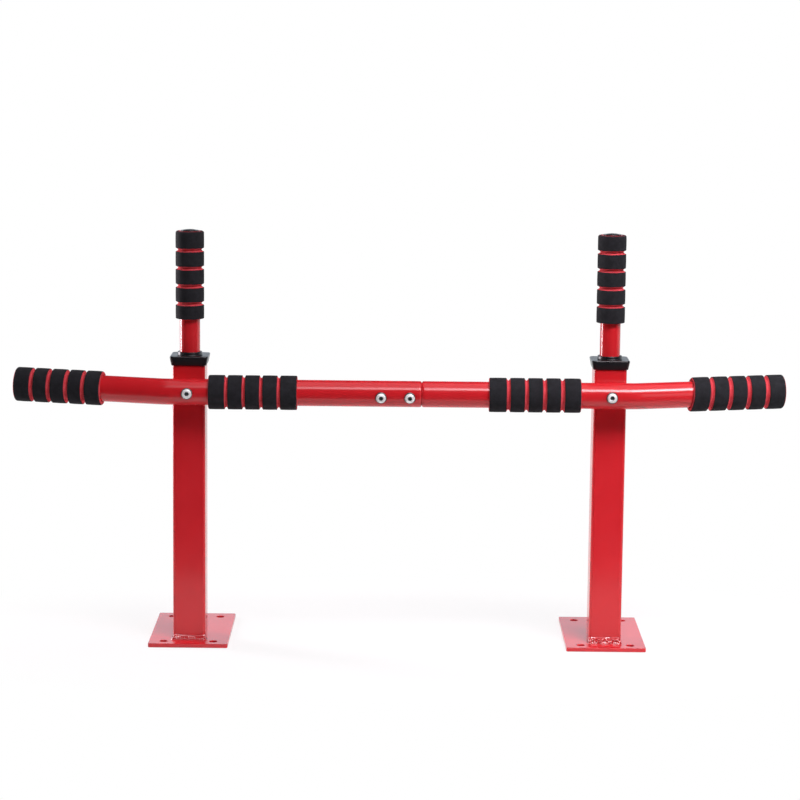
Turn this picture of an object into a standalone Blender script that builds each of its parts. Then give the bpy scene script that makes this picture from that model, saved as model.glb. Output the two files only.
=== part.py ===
"""Wall-mounted pull-up bar with two upright handles, built from its separate pieces.

Units are metres. The wall is the plane z = 0 and +Z runs out of it along the arms.
+X runs along the bar, and -Y is the side that is on top in use, where the bolt heads are.
The origin lies in the wall plane, midway between the arms and in the middle of the
part's depth.
"""
import math

import bmesh
import bpy
from mathutils import Matrix, Vector

# Clearance between pieces that touch
GAP = 0.0003

# Wall plates
PLATE_WIDTH = 0.098
PLATE_DEPTH = 0.166
PLATE_THICKNESS = 0.005
PLATE_CORNER_RADIUS = 0.0025
PLATE_HOLE_DIAMETER = 0.010
PLATE_HOLE_SIDE_MARGIN = 0.0185
PLATE_HOLE_TOP_MARGIN = 0.014
PLATE_HOLE_BOTTOM_MARGIN = 0.019
PLATE_TOP_MARGIN = 0.026

# Arms: square tubes welded to the plates
ARM_SPACING = 0.515
ARM_WIDTH = 0.040
ARM_WALL = 0.002
ARM_CORNER_RADIUS = 0.0035
ARM_LENGTH = 0.3412
LEFT_WELD_LEG = 0.0055
RIGHT_WELD_LEG = 0.0085
BACK_WELD_LEG = 0.0045
FRONT_WELD_OVERHANG = 0.0015
BACK_WELD_INSET = 0.0015
WELD_RIPPLE = 0.0005
WELD_RIPPLE_PITCH = 0.0055
WELD_END_SHARE = 0.55

# Bar: two bent tubes that plug together near the middle
BAR_BELOW_ARM_TOP = 0.0295
BAR_DIAMETER = 0.032
BAR_WALL = 0.002
BAR_BEYOND_ARM = 0.213
BAR_SEAM_X = 0.027
BAR_SEAM_CHAMFER = 0.0011
BAR_SPIGOT_LENGTH = 0.070
BAR_SPIGOT_WALL = 0.002
BAR_BEND_OFFSET = 0.029
BAR_BEND_RADIUS = 0.110
BAR_BEND_ANGLE = math.radians(8.0)
BAR_ROLL = math.radians(9.0)
JOIN_SCREW_SPACING = 0.035
JOIN_SCREW_FROM_SEAM = 0.0144

# Handles: tubes that stand in the arms' ends
HANDLE_DIAMETER = 0.025
HANDLE_WALL = 0.002
HANDLE_ABOVE_ARM = 0.1635
HANDLE_BELOW_BOLT = 0.025

# Caps on the arms' ends
CAP_HEIGHT = 0.0113
CAP_BOTTOM_OVERHANG = 0.0016
CAP_TOP_OVERHANG = 0.0034
CAP_EDGE_RADIUS = 0.0016
CAP_RING_WALL = 0.0022
CAP_RING_HEIGHT = 0.0040
CAP_INSERT_LENGTH = 0.018

# Foam grips, each with a row of grooves cut into it; the stretched ones have wider grooves
GRIP_WALL = 0.005
GRIP_RINGS = 5
GRIP_GROOVE_FLOOR = 0.0022
GRIP_GROOVE_DEPTH = 0.0022
GRIP_END_RING_EXTRA = 0.0028
GRIP_EDGE = 0.0007
HANDLE_GRIP_LENGTH = 0.1072
HANDLE_GROOVE_WIDTH = 0.0046
LEFT_INNER_GRIP_TO_ARM = 0.0252
LEFT_INNER_GRIP_LENGTH = 0.1079
LEFT_INNER_GROOVE_WIDTH = 0.0037
LEFT_OUTER_GRIP_LENGTH = 0.1084
LEFT_OUTER_GROOVE_WIDTH = 0.0059
RIGHT_INNER_GRIP_TO_ARM = 0.037
RIGHT_INNER_GRIP_LENGTH = 0.1117
RIGHT_INNER_GROOVE_WIDTH = 0.0053
RIGHT_OUTER_GRIP_LENGTH = 0.1155
RIGHT_OUTER_GROOVE_WIDTH = 0.0064

# Push-in end plugs
PLUG_DOME = 0.0034
PLUG_RIM = 0.0006
PLUG_HEAD_INSET = 0.0013
PLUG_INSERT_LENGTH = 0.012

# M8 fasteners
BOLT_DIAMETER = 0.008
BOLT_HEAD_BAND = 0.003
BOLT_HEAD_HEIGHT = 0.0044
BOLT_HEAD_RIM = 0.0009
BOLT_TAIL = 0.002
SOCKET_ACROSS_FLATS = 0.005
SOCKET_BORDER = 0.0006
SOCKET_DEPTH = 0.0026
WASHER_BAND = 0.004
WASHER_THICKNESS = 0.0016
NUT_BAND = 0.0025
NUT_THICKNESS = 0.0065

# Faces round each kind of turned or bent piece
BAR_SIDES = 24
HANDLE_SIDES = 24
GRIP_SIDES = 20
BOLT_SIDES = 16
BEND_STEPS = 4
CORNER_STEPS = 3
CAP_EDGE_STEPS = 2
WELD_STEPS = 4
DOME_STEPS = 4
HEAD_STEPS = 3

# Meshing: points this near are one point, and edges sharper than this stay sharp
SAME_POINT = 0.00001
SLIVER = 0.00003
SHARP_ANGLE = math.radians(32)

ARM_BOTTOM = PLATE_THICKNESS + GAP
ARM_TOP = ARM_BOTTOM + ARM_LENGTH
BAR_HEIGHT = ARM_TOP - BAR_BELOW_ARM_TOP
BAR_RUN = ARM_SPACING / 2 + BAR_BEYOND_ARM
BAR_OFFSET = ARM_WIDTH / 2 + GAP + BAR_DIAMETER / 2
HANDLE_FOOT = BAR_HEIGHT - HANDLE_BELOW_BOLT
HANDLE_TOP = ARM_TOP + HANDLE_ABOVE_ARM
HOLE_DIAMETER = BOLT_DIAMETER + 2 * GAP

# The arms' axes lie where the part's front and back are equally far from the origin
PART_FRONT = BAR_OFFSET + BAR_DIAMETER / 2 + max(GRIP_WALL, GAP + BOLT_HEAD_HEIGHT)
PART_BACK = PLATE_DEPTH - PLATE_TOP_MARGIN - ARM_WIDTH / 2
ARM_Y = (PART_FRONT - PART_BACK) / 2
SIDES = {"left": -1, "right": 1}
FRONT_WELD_LEGS = {"left": LEFT_WELD_LEG, "right": RIGHT_WELD_LEG}


def clear_scene():
    for item in list(bpy.data.objects):
        bpy.data.objects.remove(item, do_unlink=True)


def new_collection(name):
    collection = bpy.data.collections.new(name)
    bpy.context.scene.collection.children.link(collection)
    return collection


def new_material(name, colour, roughness, metallic=0.0):
    material = bpy.data.materials.new(name)
    material.use_nodes = True
    shader = material.node_tree.nodes["Principled BSDF"]
    shader.inputs["Base Color"].default_value = (*colour, 1.0)
    shader.inputs["Roughness"].default_value = roughness
    shader.inputs["Metallic"].default_value = metallic
    material.diffuse_color = (*colour, 1.0)
    return material


clear_scene()
PARTS = new_collection("pull_up_bar")
CUTTERS = new_collection("cutters")
LOOKS = {
    "red": ((0.55, 0.012, 0.018), 0.25, 0.0),
    "weld": ((0.42, 0.012, 0.016), 0.35, 0.0),
    "foam": ((0.014, 0.014, 0.016), 0.9, 0.0),
    "plastic": ((0.010, 0.010, 0.011), 0.3, 0.0),
    "zinc": ((0.72, 0.72, 0.74), 0.25, 1.0),
}


def add_axis(name, place):
    """An empty that carries the pieces placed from it."""
    axis = bpy.data.objects.new(name, None)
    axis.matrix_basis = place
    PARTS.objects.link(axis)
    return axis


ARM_AXES = {name: add_axis(name + "_arm_axis", Matrix.Translation((side * ARM_SPACING / 2, ARM_Y, 0)))
            for name, side in SIDES.items()}
BAR_AXIS = add_axis("bar_axis", Matrix.Translation((0, ARM_Y - BAR_OFFSET, BAR_HEIGHT))
                    @ Matrix.Rotation(BAR_ROLL, 4, "X"))


def add_part(name, mesh, look, axis, place):
    """A named piece of the product, placed from its axis, with a material of its own."""
    item = bpy.data.objects.new(name, mesh)
    mesh.materials.clear()
    mesh.materials.append(new_material(name, *LOOKS[look]))
    PARTS.objects.link(item)
    item.parent = axis
    item.matrix_basis = place
    return item


def add_cutter(name, mesh, part):
    """A tool body that cuts or joins, in the same place as the part it works on."""
    item = bpy.data.objects.new(name, mesh)
    item.hide_render = True
    item.display_type = "WIRE"
    CUTTERS.objects.link(item)
    item.parent = part.parent
    item.matrix_basis = part.matrix_basis
    return item


def shade_round(mesh):
    mesh.shade_smooth()
    mesh.set_sharp_from_angle(angle=SHARP_ANGLE)


def boolean(item, mesh, operation):
    """Cuts or joins a mesh that is given in the item's own coordinates."""
    other = add_cutter(mesh.name, mesh, item)
    modifier = item.modifiers.new(other.name, "BOOLEAN")
    modifier.operation = operation
    modifier.object = other
    modifier.solver = "EXACT"


def weld_cuts(item):
    """Merges the slivers that cuts leave where their edges cross."""
    modifier = item.modifiers.new("weld_cuts", "WELD")
    modifier.merge_threshold = SLIVER


def evaluated_mesh(item):
    """The mesh of a curve or of an object with modifiers, its loose caps welded on."""
    depsgraph = bpy.context.evaluated_depsgraph_get()
    mesh = bpy.data.meshes.new_from_object(item.evaluated_get(depsgraph))
    shape = bmesh.new()
    shape.from_mesh(mesh)
    bmesh.ops.remove_doubles(shape, verts=shape.verts, dist=SAME_POINT)
    bmesh.ops.recalc_face_normals(shape, faces=shape.faces)
    shape.to_mesh(mesh)
    shape.free()
    return mesh


def pipe_mesh(name, stations, sides):
    """A round bar through stations of (point, radius), closed at both ends."""
    curve = bpy.data.curves.new(name, "CURVE")
    curve.dimensions = "3D"
    curve.bevel_depth = stations[0][1]
    curve.bevel_resolution = (sides - 4) // 2
    curve.use_fill_caps = True
    spline = curve.splines.new("POLY")
    spline.points.add(len(stations) - 1)
    for knot, (point, radius) in zip(spline.points, stations):
        knot.co = (*point, 1.0)
        knot.radius = radius / curve.bevel_depth
        knot.tilt = math.pi / sides
    item = bpy.data.objects.new(name, curve)
    bpy.context.scene.collection.objects.link(item)
    mesh = evaluated_mesh(item)
    bpy.data.objects.remove(item)
    shade_round(mesh)
    return mesh


def extruded_mesh(name, outlines, height, bottom=0.0):
    """A flat outline with its holes, given thickness from bottom upwards."""
    curve = bpy.data.curves.new(name, "CURVE")
    curve.dimensions = "2D"
    curve.fill_mode = "BOTH"
    curve.extrude = height / 2
    for outline in outlines:
        spline = curve.splines.new("POLY")
        spline.points.add(len(outline) - 1)
        for knot, (x, y) in zip(spline.points, outline):
            knot.co = (x, y, 0, 1)
        spline.use_cyclic_u = True
    item = bpy.data.objects.new(name, curve)
    bpy.context.scene.collection.objects.link(item)
    mesh = evaluated_mesh(item)
    bpy.data.objects.remove(item)
    mesh.transform(Matrix.Translation((0, 0, bottom + height / 2)))
    shade_round(mesh)
    return mesh


def rounded_rectangle(width, depth, radius):
    """Points of a rectangle about the origin whose corners are arcs."""
    points = []
    for corner, (sx, sy) in enumerate([(1, 1), (-1, 1), (-1, -1), (1, -1)]):
        cx = sx * (width / 2 - radius)
        cy = sy * (depth / 2 - radius)
        for step in range(CORNER_STEPS + 1):
            angle = (corner + step / CORNER_STEPS) * math.pi / 2
            points.append((cx + radius * math.cos(angle), cy + radius * math.sin(angle)))
    return points


def circle(diameter, sides, centre=(0, 0)):
    angles = [2 * math.pi * step / sides for step in range(sides)]
    radius = diameter / 2
    return [(centre[0] + radius * math.cos(a), centre[1] + radius * math.sin(a)) for a in angles]


def turned_mesh(name, profile, sides, closed=False):
    """A profile of (radius, height) turned about Z, listed down its outer side."""
    mesh = bpy.data.meshes.new(name)
    shape = bmesh.new()
    knots = [shape.verts.new((radius, 0, height)) for radius, height in profile]
    for first, second in zip(knots, knots[1:] + knots[:1] if closed else knots[1:]):
        shape.edges.new((first, second))
    shape.to_mesh(mesh)
    shape.free()
    item = bpy.data.objects.new(name, mesh)
    bpy.context.scene.collection.objects.link(item)
    screw = item.modifiers.new("turn", "SCREW")
    screw.axis = "Z"
    screw.angle = 2 * math.pi
    screw.steps = sides
    screw.render_steps = sides
    screw.use_merge_vertices = True
    screw.merge_threshold = SAME_POINT
    bpy.context.view_layer.update()
    turned = evaluated_mesh(item)
    bpy.data.objects.remove(item)
    shade_round(turned)
    return turned


def drill_mesh(name, diameter, length, places, sides=BOLT_SIDES):
    """Cylinders along the Z axis of each place, in one mesh."""
    mesh = bpy.data.meshes.new(name)
    shape = bmesh.new()
    for place in places:
        bmesh.ops.create_cone(shape, cap_ends=True, segments=sides, radius1=diameter / 2,
                              radius2=diameter / 2, depth=length, matrix=place)
    shape.to_mesh(mesh)
    shape.free()
    return mesh


def frame_along(point, direction, up=(0, 0, 1)):
    """A place whose Z axis points along a direction."""
    z = Vector(direction).normalized()
    x = Vector(up).cross(z).normalized()
    y = z.cross(x)
    turn = Matrix((x, y, z)).transposed().to_4x4()
    return Matrix.Translation(Vector(point)) @ turn


def bar_direction(side, angle):
    """The bar's direction after bending back by an angle, from the bar's axis."""
    return Vector((side * math.cos(angle), math.sin(angle), 0))


def bend_runs():
    """Distances along the bar from the middle to the start and the end of its bend."""
    start = ARM_SPACING / 2 + BAR_BEND_OFFSET - BAR_BEND_RADIUS * math.tan(BAR_BEND_ANGLE / 2)
    return start, start + BAR_BEND_RADIUS * BAR_BEND_ANGLE


def bar_station(side, run):
    """The point and direction on the bar, at a distance along it from the middle."""
    start, end = bend_runs()
    point = Vector((side * min(run, start), 0, 0))
    angle = min(max(run - start, 0), end - start) / BAR_BEND_RADIUS
    inward = bar_direction(side, math.pi / 2)
    point += BAR_BEND_RADIUS * (math.sin(angle) * bar_direction(side, 0) + (1 - math.cos(angle)) * inward)
    point += max(run - end, 0) * bar_direction(side, angle)
    return point, bar_direction(side, angle)


def bar_place(side, run):
    """A place on the bar's axis whose Z axis points along the bar to its end."""
    return frame_along(*bar_station(side, run))


def bar_points(side, first, last):
    """Points along the bar's axis between two distances from the middle."""
    start, end = bend_runs()
    runs = [first] + [start + (end - start) * step / BEND_STEPS for step in range(BEND_STEPS + 1)] + [last]
    return [bar_station(side, run)[0] for run in runs]


def make_wall_plate(side_name):
    """Flat steel plate with four bolt holes, whose long way runs down the wall."""
    hole_x = PLATE_WIDTH / 2 - PLATE_HOLE_SIDE_MARGIN
    hole_rows = (PLATE_HOLE_TOP_MARGIN - PLATE_DEPTH / 2, PLATE_DEPTH / 2 - PLATE_HOLE_BOTTOM_MARGIN)
    outlines = [rounded_rectangle(PLATE_WIDTH, PLATE_DEPTH, PLATE_CORNER_RADIUS)]
    for x in (-hole_x, hole_x):
        for y in hole_rows:
            outlines.append(circle(PLATE_HOLE_DIAMETER, BOLT_SIDES, (x, y)))
    name = side_name + "_wall_plate"
    centre_y = PLATE_DEPTH / 2 - PLATE_TOP_MARGIN - ARM_WIDTH / 2
    add_part(name, extruded_mesh(name, outlines, PLATE_THICKNESS), "red", ARM_AXES[side_name],
             Matrix.Translation((0, centre_y, 0)))


def make_arm(side_name):
    """Square tube standing on the plate, drilled across for the bolt that holds the bar."""
    inner_width = ARM_WIDTH - 2 * ARM_WALL
    inner_radius = max(ARM_CORNER_RADIUS - ARM_WALL, GAP)
    outlines = [rounded_rectangle(ARM_WIDTH, ARM_WIDTH, ARM_CORNER_RADIUS),
                rounded_rectangle(inner_width, inner_width, inner_radius)]
    name = side_name + "_arm"
    arm = add_part(name, extruded_mesh(name, outlines, ARM_LENGTH), "red", ARM_AXES[side_name],
                   Matrix.Translation((0, 0, ARM_BOTTOM)))
    drill = frame_along((0, 0, BAR_HEIGHT - ARM_BOTTOM), (0, 1, 0))
    boolean(arm, drill_mesh(name + "_bolt_hole", HOLE_DIAMETER, 2 * ARM_WIDTH, [drill]), "DIFFERENCE")
    weld_cuts(arm)


def make_weld(name, axis, turn, width, full_leg):
    """Rippled fillet of weld in the corner between the arm's face and the plate."""
    stations = 2 * round(width / WELD_RIPPLE_PITCH)
    shape = bmesh.new()
    sections = []
    for step in range(stations + 1):
        to_end = 2 * min(step, stations - step) / stations
        taper = min(1.0, WELD_END_SHARE + to_end)
        leg = (full_leg + (WELD_RIPPLE if step % 2 else -WELD_RIPPLE)) * taper
        corner = Vector((width * (step / stations - 0.5), 0, 0))
        outline = [corner]
        for part_step in range(WELD_STEPS + 1):
            angle = part_step / WELD_STEPS * math.pi / 2
            outline.append(corner + leg * Vector((0, -math.cos(angle), math.sin(angle))))
        sections.append([shape.verts.new(point) for point in outline])
    for before, after in zip(sections, sections[1:]):
        for i in range(len(before)):
            j = (i + 1) % len(before)
            shape.faces.new((before[i], before[j], after[j], after[i]))
    shape.faces.new(sections[0])
    shape.faces.new(sections[-1])
    bmesh.ops.recalc_face_normals(shape, faces=shape.faces)
    mesh = bpy.data.meshes.new(name)
    shape.to_mesh(mesh)
    shape.free()
    corner = Matrix.Translation((0, -ARM_WIDTH / 2 - GAP, ARM_BOTTOM))
    add_part(name, mesh, "weld", axis, Matrix.Rotation(turn, 4, "Z") @ corner)


def make_arm_cap(side_name):
    """Plastic cap that plugs into the arm and centres the handle tube."""
    name = side_name + "_arm_cap"
    mesh = bpy.data.meshes.new(name)
    shape = bmesh.new()
    bmesh.ops.create_cube(shape, size=1.0)
    for knot in shape.verts:
        width = ARM_WIDTH + 2 * (CAP_TOP_OVERHANG if knot.co.z > 0 else CAP_BOTTOM_OVERHANG)
        knot.co = (knot.co.x * width, knot.co.y * width, (knot.co.z + 0.5) * CAP_HEIGHT)
    bmesh.ops.bevel(shape, geom=list(shape.edges), offset=CAP_EDGE_RADIUS, segments=CAP_EDGE_STEPS,
                    profile=0.5, affect="EDGES")
    shape.to_mesh(mesh)
    shape.free()
    shade_round(mesh)
    cap = add_part(name, mesh, "plastic", ARM_AXES[side_name], Matrix.Translation((0, 0, ARM_TOP + GAP)))

    bore = HANDLE_DIAMETER + 2 * GAP
    middle = CAP_HEIGHT / 2
    ring_top = CAP_HEIGHT + CAP_RING_HEIGHT
    ring_round = CAP_RING_WALL / 2
    ring_radius = bore / 2 + CAP_RING_WALL
    profile = [(0, ring_top), (ring_radius - ring_round, ring_top), (ring_radius, ring_top - ring_round),
               (ring_radius, middle), (0, middle)]
    boolean(cap, turned_mesh(name + "_ring", profile, HANDLE_SIDES), "UNION")

    insert_width = ARM_WIDTH - 2 * ARM_WALL - 2 * GAP
    outline = rounded_rectangle(insert_width, insert_width, ARM_WALL)
    insert = extruded_mesh(name + "_insert", [outline], middle + CAP_INSERT_LENGTH, -CAP_INSERT_LENGTH)
    boolean(cap, insert, "UNION")
    drill = drill_mesh(name + "_bore", bore, 4 * CAP_INSERT_LENGTH, [Matrix()], HANDLE_SIDES)
    boolean(cap, drill, "DIFFERENCE")
    weld_cuts(cap)


def make_handle_tube(side_name):
    """Round tube through the cap into the arm, held at its foot by the bar's bolt."""
    length = HANDLE_TOP - HANDLE_FOOT
    radius = HANDLE_DIAMETER / 2
    profile = [(radius, length), (radius, 0), (radius - HANDLE_WALL, 0), (radius - HANDLE_WALL, length)]
    name = side_name + "_handle_tube"
    mesh = turned_mesh(name, profile, HANDLE_SIDES, closed=True)
    tube = add_part(name, mesh, "red", ARM_AXES[side_name], Matrix.Translation((0, 0, HANDLE_FOOT)))
    drill = frame_along((0, 0, BAR_HEIGHT - HANDLE_FOOT), (0, 1, 0))
    boolean(tube, drill_mesh(name + "_bolt_hole", HOLE_DIAMETER, 2 * ARM_WIDTH, [drill]), "DIFFERENCE")
    weld_cuts(tube)


def join_screw_runs():
    nearest = BAR_SEAM_X - JOIN_SCREW_FROM_SEAM
    return nearest - JOIN_SCREW_SPACING, nearest


def make_bar_half(side_name, side):
    """One bent half of the bar; the right one has a spigot that enters the left one."""
    outer = BAR_DIAMETER / 2
    inner = outer - BAR_WALL
    path = bar_points(side, side * BAR_SEAM_X + GAP / 2, BAR_RUN)
    along = bar_direction(side, 0)
    stations = [(path[0], outer - BAR_SEAM_CHAMFER), (path[0] + BAR_SEAM_CHAMFER * along, outer)]
    stations += [(point, outer) for point in path[1:]]
    bore = [(path[0] - BAR_DIAMETER * along, inner)] + [(point, inner) for point in path[1:-1]]
    bore += [(path[-1] + BAR_DIAMETER * bar_direction(side, BAR_BEND_ANGLE), inner)]
    if side > 0:
        spigot_outer = inner - GAP
        spigot_inner = spigot_outer - BAR_SPIGOT_WALL
        spigot_end = path[0] - BAR_SPIGOT_LENGTH * along
        step = GAP * along
        stations = [(spigot_end, spigot_outer - GAP), (spigot_end + 4 * step, spigot_outer),
                    (path[0] - step, spigot_outer)] + stations
        bore = [(spigot_end - step, spigot_inner), (path[0] + BAR_DIAMETER / 2 * along, spigot_inner),
                (path[0] + BAR_DIAMETER * along, inner)] + bore[1:]
    name = side_name + "_bar"
    bar = add_part(name, pipe_mesh(name, stations, BAR_SIDES), "red", BAR_AXIS, Matrix())
    boolean(bar, pipe_mesh(name + "_bore", bore, BAR_SIDES), "DIFFERENCE")
    arm_bolt = Matrix.Rotation(-BAR_ROLL, 4, "X") @ frame_along((side * ARM_SPACING / 2, 0, 0), (0, 1, 0))
    drills = [arm_bolt] + [frame_along((x, 0, 0), (0, 1, 0)) for x in join_screw_runs()]
    boolean(bar, drill_mesh(name + "_holes", HOLE_DIAMETER, 2 * BAR_DIAMETER, drills), "DIFFERENCE")
    weld_cuts(bar)


def grip_profile(tube_diameter, length, groove):
    """Section of a foam sleeve whose outer side steps down into a row of grooves."""
    outer = tube_diameter / 2 + GRIP_WALL
    inner = tube_diameter / 2 + GAP
    floor = outer - GRIP_GROOVE_DEPTH
    slope = (groove - GRIP_GROOVE_FLOOR) / 2
    grooves = GRIP_RINGS - 1
    ring = (length - grooves * groove - 2 * GRIP_END_RING_EXTRA) / GRIP_RINGS
    profile = [(outer - GRIP_EDGE, length), (outer, length - GRIP_EDGE)]
    top = length - ring - GRIP_END_RING_EXTRA
    for _ in range(grooves):
        profile += [(outer, top), (floor, top - slope), (floor, top - slope - GRIP_GROOVE_FLOOR),
                    (outer, top - groove)]
        top -= groove + ring
    profile += [(outer, GRIP_EDGE), (outer - GRIP_EDGE, 0), (inner, 0), (inner, length)]
    return profile


def make_grip(name, tube_diameter, length, groove, axis, place):
    """Foam sleeve pushed over a tube, its foot at the origin of its place."""
    mesh = turned_mesh(name, grip_profile(tube_diameter, length, groove), GRIP_SIDES, closed=True)
    add_part(name, mesh, "foam", axis, place)


def make_end_plug(name, tube_diameter, wall, axis, place):
    """Domed plastic plug pushed into a tube's open end, which is at its place."""
    insert = tube_diameter / 2 - wall - GAP
    head = tube_diameter / 2 - PLUG_HEAD_INSET
    profile = []
    for step in range(DOME_STEPS + 1):
        angle = math.pi / 2 * (1 - step / DOME_STEPS)
        height = GAP + PLUG_RIM + PLUG_DOME * math.sin(angle)
        profile.append((head * math.cos(angle) if step else 0, height))
    foot = GAP - PLUG_INSERT_LENGTH
    profile += [(head, GAP), (insert, GAP), (insert, foot), (0, foot)]
    add_part(name, turned_mesh(name, profile, HANDLE_SIDES), "plastic", axis, place)


def make_button_screw(name, grip_length, axis, place):
    """Button-head screw with a hexagon socket; its place is under the head, Z pointing out."""
    radius = BOLT_DIAMETER / 2 + BOLT_HEAD_BAND
    across_corners = SOCKET_ACROSS_FLATS / math.cos(math.pi / 6)
    flat = across_corners / 2 + SOCKET_BORDER
    profile = [(0, BOLT_HEAD_HEIGHT)]
    for step in range(HEAD_STEPS + 1):
        angle = math.pi / 2 * (1 - step / HEAD_STEPS)
        profile.append((flat + (radius - flat) * math.cos(angle),
                        BOLT_HEAD_RIM + (BOLT_HEAD_HEIGHT - BOLT_HEAD_RIM) * math.sin(angle)))
    profile += [(radius, 0), (BOLT_DIAMETER / 2, 0), (BOLT_DIAMETER / 2, -grip_length), (0, -grip_length)]
    screw = add_part(name, turned_mesh(name, profile, BOLT_SIDES), "zinc", axis, place)
    mouth = Matrix.Translation((0, 0, BOLT_HEAD_HEIGHT))
    boolean(screw, drill_mesh(name + "_socket", across_corners, 2 * SOCKET_DEPTH, [mouth], 6), "DIFFERENCE")


def make_washer(name, axis, place):
    outlines = [circle(BOLT_DIAMETER + 2 * WASHER_BAND, BOLT_SIDES), circle(HOLE_DIAMETER, BOLT_SIDES)]
    add_part(name, extruded_mesh(name, outlines, WASHER_THICKNESS), "zinc", axis, place)


def make_nut(name, axis, place):
    across_corners = (BOLT_DIAMETER + 2 * NUT_BAND) / math.cos(math.pi / 6)
    outlines = [circle(across_corners, 6), circle(HOLE_DIAMETER, BOLT_SIDES)]
    add_part(name, extruded_mesh(name, outlines, NUT_THICKNESS), "zinc", axis, place)


def make_arm_fasteners(side_name):
    """Bolt through bar, arm and handle tube, with a washer and nut behind the arm."""
    axis = ARM_AXES[side_name]
    head_y = -BAR_OFFSET - BAR_DIAMETER / 2 - GAP
    washer_y = ARM_WIDTH / 2 + GAP
    nut_y = washer_y + WASHER_THICKNESS + GAP
    end_y = nut_y + NUT_THICKNESS + BOLT_TAIL
    make_button_screw(side_name + "_arm_bolt", end_y - head_y, axis,
                      frame_along((0, head_y, BAR_HEIGHT), (0, -1, 0)))
    make_washer(side_name + "_arm_bolt_washer", axis, frame_along((0, washer_y, BAR_HEIGHT), (0, 1, 0)))
    make_nut(side_name + "_arm_bolt_nut", axis, frame_along((0, nut_y, BAR_HEIGHT), (0, 1, 0)))


def make_join_fasteners():
    """Screws that lock the spigot in the socket, square to the plane of the bar's bends."""
    reach = BAR_DIAMETER / 2 + GAP
    for name, x in zip(("left_join_screw", "right_join_screw"), join_screw_runs()):
        make_button_screw(name, 2 * reach + NUT_THICKNESS + BOLT_TAIL, BAR_AXIS,
                          frame_along((x, -reach, 0), (0, -1, 0)))
        make_nut(name + "_nut", BAR_AXIS, frame_along((x, reach, 0), (0, 1, 0)))


def make_inner_bar_grip(side_name, to_arm, length, groove):
    """The grip that lies between an arm and the middle of the bar."""
    place = bar_place(SIDES[side_name], ARM_SPACING / 2 - to_arm - length)
    make_grip(side_name + "_inner_bar_grip", BAR_DIAMETER, length, groove, BAR_AXIS, place)


def make_outer_bar_grip(side_name, length, groove):
    """The grip on a bent end of the bar, flush with the tube's end."""
    place = bar_place(SIDES[side_name], BAR_RUN - length)
    make_grip(side_name + "_outer_bar_grip", BAR_DIAMETER, length, groove, BAR_AXIS, place)


def make_handle_trim(side_name):
    """The grip and the end plug of one handle."""
    axis = ARM_AXES[side_name]
    make_grip(side_name + "_handle_grip", HANDLE_DIAMETER, HANDLE_GRIP_LENGTH, HANDLE_GROOVE_WIDTH, axis,
              Matrix.Translation((0, 0, HANDLE_TOP - HANDLE_GRIP_LENGTH)))
    make_end_plug(side_name + "_handle_end_plug", HANDLE_DIAMETER, HANDLE_WALL, axis,
                  Matrix.Translation((0, 0, HANDLE_TOP)))


for SIDE_NAME, SIDE in SIDES.items():
    make_wall_plate(SIDE_NAME)
    make_arm(SIDE_NAME)
    make_weld(SIDE_NAME + "_arm_front_weld", ARM_AXES[SIDE_NAME], 0,
              ARM_WIDTH + 2 * FRONT_WELD_OVERHANG, FRONT_WELD_LEGS[SIDE_NAME])
    make_weld(SIDE_NAME + "_arm_back_weld", ARM_AXES[SIDE_NAME], math.pi,
              ARM_WIDTH - 2 * BACK_WELD_INSET, BACK_WELD_LEG)
    make_arm_cap(SIDE_NAME)
    make_handle_tube(SIDE_NAME)
    make_handle_trim(SIDE_NAME)
    make_bar_half(SIDE_NAME, SIDE)
    make_arm_fasteners(SIDE_NAME)
    make_end_plug(SIDE_NAME + "_bar_end_plug", BAR_DIAMETER, BAR_WALL, BAR_AXIS, bar_place(SIDE, BAR_RUN))
make_inner_bar_grip("left", LEFT_INNER_GRIP_TO_ARM, LEFT_INNER_GRIP_LENGTH, LEFT_INNER_GROOVE_WIDTH)
make_outer_bar_grip("left", LEFT_OUTER_GRIP_LENGTH, LEFT_OUTER_GROOVE_WIDTH)
make_inner_bar_grip("right", RIGHT_INNER_GRIP_TO_ARM, RIGHT_INNER_GRIP_LENGTH, RIGHT_INNER_GROOVE_WIDTH)
make_outer_bar_grip("right", RIGHT_OUTER_GRIP_LENGTH, RIGHT_OUTER_GROOVE_WIDTH)
make_join_fasteners()
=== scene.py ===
"""Wall-mounted pull-up bar with two upright handles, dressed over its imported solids.

Units are metres. The plates' backs are the plane z = 0, the arms run up from them along +Z,
the bar runs along X, and -Y is the side with the bolt heads.
"""

import math

import bmesh
import bpy
import numpy as np
from mathutils import Matrix, Vector


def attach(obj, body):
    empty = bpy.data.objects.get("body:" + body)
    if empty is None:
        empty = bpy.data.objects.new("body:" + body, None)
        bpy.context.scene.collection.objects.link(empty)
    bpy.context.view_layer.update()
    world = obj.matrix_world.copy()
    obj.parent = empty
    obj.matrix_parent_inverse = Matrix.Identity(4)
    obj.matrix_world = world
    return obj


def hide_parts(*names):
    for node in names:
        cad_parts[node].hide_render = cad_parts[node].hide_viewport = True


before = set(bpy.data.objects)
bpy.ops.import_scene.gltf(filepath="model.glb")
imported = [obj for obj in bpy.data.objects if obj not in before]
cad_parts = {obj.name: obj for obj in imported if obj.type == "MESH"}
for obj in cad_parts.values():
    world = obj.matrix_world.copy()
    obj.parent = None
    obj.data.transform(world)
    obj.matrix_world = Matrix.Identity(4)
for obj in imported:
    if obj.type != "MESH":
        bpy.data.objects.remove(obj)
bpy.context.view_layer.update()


# Wall plates: 5 mm steel sheet, sheared to size with small round corners, punched with four
# bolt holes and deburred, then powder coated in gloss red together with the welded arm.
SIDES = {"left": -1, "right": 1}
ARM_X = 0.2575
ARM_Y = -0.03135
PLATE_HALF_WIDTH = 0.049
PLATE_HALF_LENGTH = 0.083
PLATE_CENTRE_Y = 0.00565
PLATE_THICKNESS = 0.005
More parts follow.
